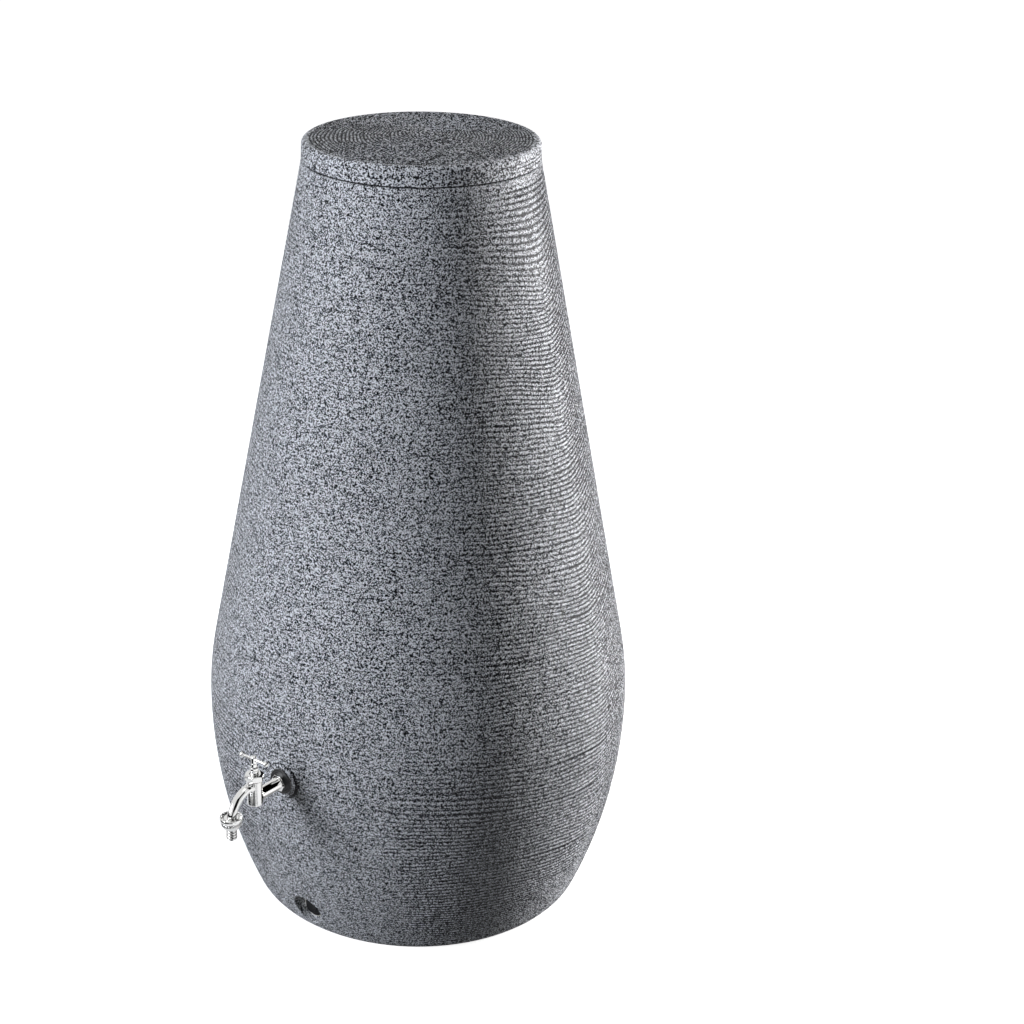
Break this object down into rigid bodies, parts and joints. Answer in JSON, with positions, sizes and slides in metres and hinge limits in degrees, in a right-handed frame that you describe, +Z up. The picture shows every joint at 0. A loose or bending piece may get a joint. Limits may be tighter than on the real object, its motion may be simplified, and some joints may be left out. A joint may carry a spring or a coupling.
{
  "type": "rain barrel",
  "caption": "Free-standing drop-shaped rain barrel with a granite look, a lift-off cap lid, a chromed bib tap with a hose union and a screwed drain plug near its foot.",
  "frame": {"origin": "centre of the base, on the floor", "axes": "+Z up through the lid, -Y from the axis towards the tap, +X to the right of a person who faces the tap"},
  "size_m": [0.76, 0.9101, 1.4],
  "materials": {
    "granite_plastic": "speckled granite look, finely ribbed, matt",
    "granite_plastic_lid": "speckled granite look with fine rings, matt",
    "chromed_brass": "polished chrome plate",
    "bare_brass": "turned brass",
    "nickel_brass": "dull nickel plate",
    "gasket_rubber": "black rubber",
    "fibre_washer": "red vulcanised fibre",
    "black_plastic": "moulded, satin"
  },
  "bodies": {
    "barrel": {"barrel_shell": "granite_plastic", "tap_gasket": "gasket_rubber", "tap_body": "chromed_brass", "tap_inner_washer": "gasket_rubber", "tap_lock_nut": "bare_brass", "spout": "chromed_brass", "bonnet": "chromed_brass", "bonnet_washer": "fibre_washer", "gland_packing": "gasket_rubber", "gland_nut": "chromed_brass", "drain_insert": "nickel_brass"},
    "lid": {"lid": "granite_plastic_lid"},
    "jumper": {"jumper_valve": "bare_brass", "jumper_washer": "gasket_rubber", "jumper_nut": "bare_brass"},
    "spindle": {"spindle": "chromed_brass", "handle_bar": "chromed_brass", "handle_knobs": "chromed_brass"},
    "hose_tail": {"hose_tail": "chromed_brass", "hose_tail_washer": "gasket_rubber"},
    "union_nut": {"union_nut": "chromed_brass"},
    "drain_seal": {"drain_seal": "gasket_rubber"},
    "drain_plug": {"drain_plug": "black_plastic"}
  },
  "joints": [
    {"name": "lid_lift", "type": "slide", "parent": "barrel", "child": "lid", "axis": [0, 0, 1], "range_m": [0, 0.12]},
    {"name": "jumper_lift", "type": "slide", "parent": "barrel", "child": "jumper", "axis": [0, 0, 1], "range_m": [0, 0.006]},
    {"name": "spindle_turn", "type": "hinge", "parent": "jumper", "child": "spindle", "pos_m": [0, -0.45006, 0.4], "axis": [0, 0, 1], "range_deg": [0, 1080]},
    {"name": "tail_drop", "type": "slide", "parent": "barrel", "child": "hose_tail", "axis": [0, 0, -1], "range_m": [0, 0.00907]},
    {"name": "union_turn", "type": "hinge", "parent": "hose_tail", "child": "union_nut", "pos_m": [0, -0.51006, 0.33], "axis": [0, 0, -1], "range_deg": [0, 1800]},
    {"name": "drain_draw", "type": "slide", "parent": "barrel", "child": "drain_seal", "axis": [0, -1, 0], "range_m": [0, 0.01154]},
    {"name": "drain_turn", "type": "hinge", "parent": "drain_seal", "child": "drain_plug", "pos_m": [0, -0.3, 0.058], "axis": [0, -1, 0], "range_deg": [0, 1800]}
  ],
  "couplings": [
    {"joint": "jumper_lift", "follows": "spindle_turn", "m_per_rad": 0.00031831},
    {"joint": "tail_drop", "follows": "union_turn", "m_per_rad": 0.00028871},
    {"joint": "drain_draw", "follows": "drain_turn", "m_per_rad": 0.00036749}
  ]
}
